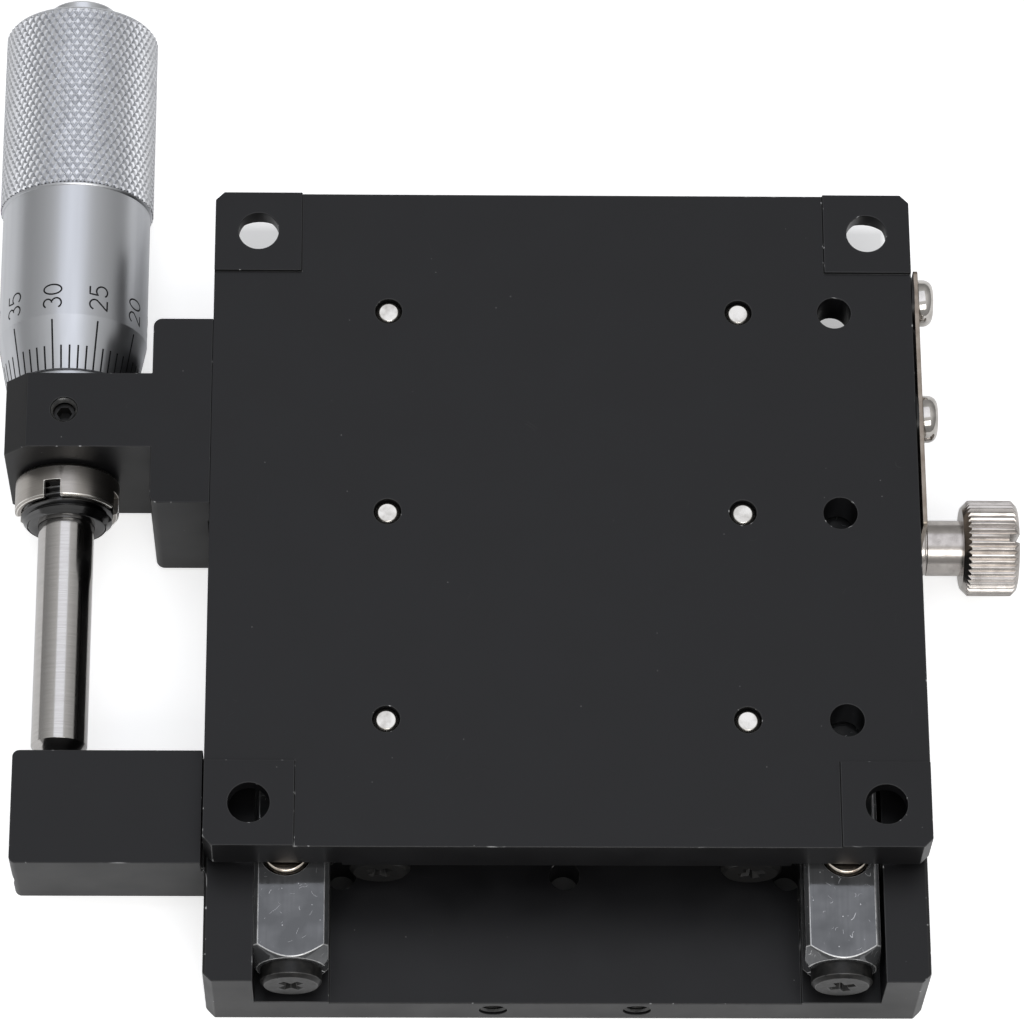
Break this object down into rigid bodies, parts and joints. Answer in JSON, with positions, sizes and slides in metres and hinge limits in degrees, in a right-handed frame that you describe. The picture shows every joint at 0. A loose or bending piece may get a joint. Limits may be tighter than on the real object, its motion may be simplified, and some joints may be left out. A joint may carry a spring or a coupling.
{
  "type": "translation stage",
  "caption": "Low manual translation stage: square base and sliding table on crossed-roller ways, side micrometer head, anvil block and lock screw.",
  "frame": {"origin": "on the outer face of the table, under the centre of the base", "axes": "X across the travel, Y along it from the anvil towards the thimble, +Z from the table's outer face to the base's mounting pads"},
  "size_m": [0.1179, 0.122, 0.02],
  "materials": {
    "anodised_black": "black anodised, satin",
    "ground_steel": "ground and scratched hardened steel",
    "nickel_screws": "nickel plated",
    "black_screws": "black oxide",
    "satin_chrome": "satin chrome plate",
    "nickel_plate": "dull nickel plate",
    "spindle_steel": "polished steel",
    "clamp_steel": "blanked steel strip",
    "pin_steel": "ground dowel",
    "spring_steel": "spring wire",
    "cage_steel": "stainless strip",
    "roller_steel": "lapped bearing steel"
  },
  "bodies": {
    "base": {"base_plate": "anodised_black", "base_rail_right": "ground_steel", "base_rail_left": "ground_steel", "base_rail_screws": "nickel_screws", "base_rail_end_screws": "black_screws", "micrometer_bracket": "anodised_black", "bracket_screws": "black_screws", "sleeve_set_screw": "black_screws", "micrometer_sleeve": "satin_chrome", "sleeve_ring_nut": "nickel_plate", "spindle_adjusting_nut": "nickel_plate", "clamp_plate": "clamp_steel", "clamp_plate_washers": "black_screws", "clamp_plate_screws": "nickel_screws", "base_spring_pin": "pin_steel", "return_spring": "spring_steel"},
    "table": {"table_plate": "anodised_black", "table_rail_right": "ground_steel", "table_rail_left": "ground_steel", "table_rail_screws": "nickel_screws", "table_rail_end_screws": "black_screws", "preload_set_screws": "black_screws", "anvil_block": "anodised_black", "anvil_screws": "black_screws", "table_spring_pin": "pin_steel"},
    "left_cage": {"roller_cage_left": "cage_steel", "crossed_rollers_left": "roller_steel"},
    "right_cage": {"roller_cage_right": "cage_steel", "crossed_rollers_right": "roller_steel"},
    "micrometer_drive": {"thimble": "satin_chrome", "spindle": "spindle_steel", "thimble_end_cap": "satin_chrome"},
    "lock": {"lock_screw": "nickel_plate"}
  },
  "joints": [
    {"name": "table_slide", "type": "slide", "parent": "base", "child": "table", "axis": [0, 1, 0], "range_m": [0, 0.025], "deforming": ["return_spring"]},
    {"name": "left_cage_slide", "type": "slide", "parent": "base", "child": "left_cage", "axis": [0, 1, 0], "range_m": [0, 0.0125]},
    {"name": "right_cage_slide", "type": "slide", "parent": "base", "child": "right_cage", "axis": [0, 1, 0], "range_m": [0, 0.0125]},
    {"name": "thimble_turn", "type": "hinge", "parent": "table", "child": "micrometer_drive", "pos_m": [-0.0567, 0.03, 0.0095], "axis": [0, 1, 0], "range_deg": [0, 18000]},
    {"name": "lock_turn", "type": "hinge", "parent": "table", "child": "lock", "pos_m": [0.045, 0.0014, 0.0064], "axis": [1, 0, 0], "range_deg": [-70, 290]}
  ],
  "couplings": [
    {"joint": "thimble_turn", "follows": "table_slide", "rad_per_m": 12566},
    {"joint": "left_cage_slide", "follows": "table_slide", "ratio": 0.5},
    {"joint": "right_cage_slide", "follows": "table_slide", "ratio": 0.5}
  ]
}
